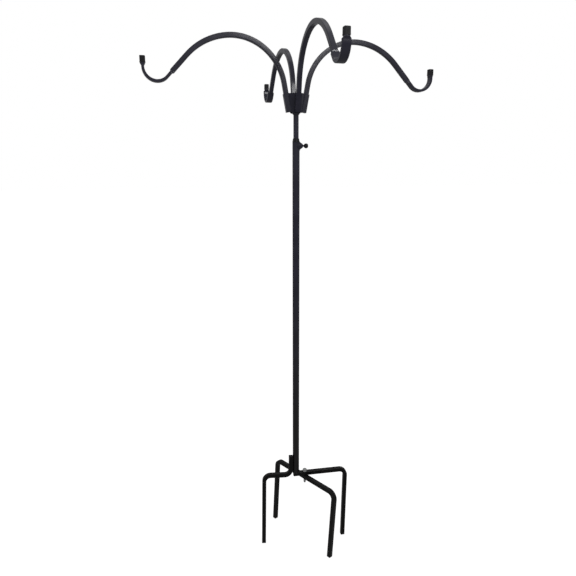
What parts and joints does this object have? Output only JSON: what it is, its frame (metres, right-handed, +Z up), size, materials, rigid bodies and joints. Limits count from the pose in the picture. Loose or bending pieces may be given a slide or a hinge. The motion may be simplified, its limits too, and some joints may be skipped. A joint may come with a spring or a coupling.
{
  "type": "hanging plant stand",
  "caption": "Tall black metal plant stand: a telescoping pole on bent prongs, with arched arms that plug into a hub and end in flat hooks for hanging baskets.",
  "frame": {"origin": "on the ground, at the axis of the pole, which is the middle of the bounding box's base", "axes": "+Z up along the pole; the four arms lie along +X, +Y, -X and -Y; the clamping screw points 15 degrees from +X towards -Y"},
  "size_m": [0.8898, 0.8898, 1.6886],
  "materials": {
    "head_black": "satin black powder coat with a slight purple-grey cast",
    "base_black": "satin black paint on square bar",
    "black_plastic": "black moulded plastic",
    "zinc_steel": "bright zinc plating",
    "black_zinc": "black zinc plating"
  },
  "bodies": {
    "base": {"outer_pole": "head_black", "guide_bush": "black_plastic", "thumbscrew_boss": "head_black", "left_bar": "base_black", "right_bar": "base_black"},
    "sleeve": {"slide_sleeve": "black_plastic"},
    "head": {"inner_pole": "head_black", "hub_core": "head_black", "socket_right": "head_black", "socket_back": "head_black", "socket_left": "head_black", "socket_front": "head_black"},
    "arm_right": {"arm_right": "head_black", "tip_cap_right": "black_plastic"},
    "arm_back": {"arm_back": "head_black", "tip_cap_back": "black_plastic"},
    "arm_left": {"arm_left": "head_black", "tip_cap_left": "black_plastic"},
    "arm_front": {"arm_front": "head_black", "tip_cap_front": "black_plastic"},
    "screw": {"thumbscrew_shank": "black_zinc"},
    "knob": {"thumbscrew_knob": "black_plastic"},
    "cross": {"cross_bar": "base_black"},
    "washer": {"anchor_washer": "zinc_steel"},
    "bolt": {"anchor_bolt": "zinc_steel"}
  },
  "joints": [
    {"name": "height_slide", "type": "slide", "parent": "base", "child": "sleeve", "axis": [0, 0, 1], "range_m": [-0.066, 0.6]},
    {"name": "head_swivel", "type": "hinge", "parent": "sleeve", "child": "head", "pos_m": [0, 0, 0.7], "axis": [0, 0, 1], "continuous": true},
    {"name": "arm_right_lift", "type": "slide", "parent": "head", "child": "arm_right", "axis": [0.1822, 0, 0.9833], "range_m": [0, 0.055]},
    {"name": "arm_back_lift", "type": "slide", "parent": "head", "child": "arm_back", "axis": [0, 0.1822, 0.9833], "range_m": [0, 0.055]},
    {"name": "arm_left_lift", "type": "slide", "parent": "head", "child": "arm_left", "axis": [-0.1822, 0, 0.9833], "range_m": [0, 0.055]},
    {"name": "arm_front_lift", "type": "slide", "parent": "head", "child": "arm_front", "axis": [0, -0.1822, 0.9833], "range_m": [0, 0.055]},
    {"name": "thumbscrew_travel", "type": "slide", "parent": "base", "child": "screw", "axis": [0.9659, -0.2588, 0], "range_m": [0, 0.003]},
    {"name": "thumbscrew_turn", "type": "hinge", "parent": "screw", "child": "knob", "pos_m": [0.02705, -0.00725, 1.3792], "axis": [0.9659, -0.2588, 0], "range_deg": [0, 1080]},
    {"name": "cross_bar_fold", "type": "hinge", "parent": "base", "child": "cross", "pos_m": [0.03142, -0.0022, 0.253], "axis": [0, 0, 1], "range_deg": [-112, 44]},
    {"name": "anchor_bolt_travel", "type": "slide", "parent": "base", "child": "washer", "axis": [0, 0, 1], "range_m": [0, 0.0025]},
    {"name": "anchor_bolt_turn", "type": "hinge", "parent": "washer", "child": "bolt", "pos_m": [0.03142, -0.0022, 0.253], "axis": [0, 0, 1], "range_deg": [0, 720]}
  ],
  "couplings": [
    {"joint": "thumbscrew_turn", "follows": "thumbscrew_travel", "rad_per_m": 6283},
    {"joint": "anchor_bolt_turn", "follows": "anchor_bolt_travel", "rad_per_m": 5026}
  ]
}
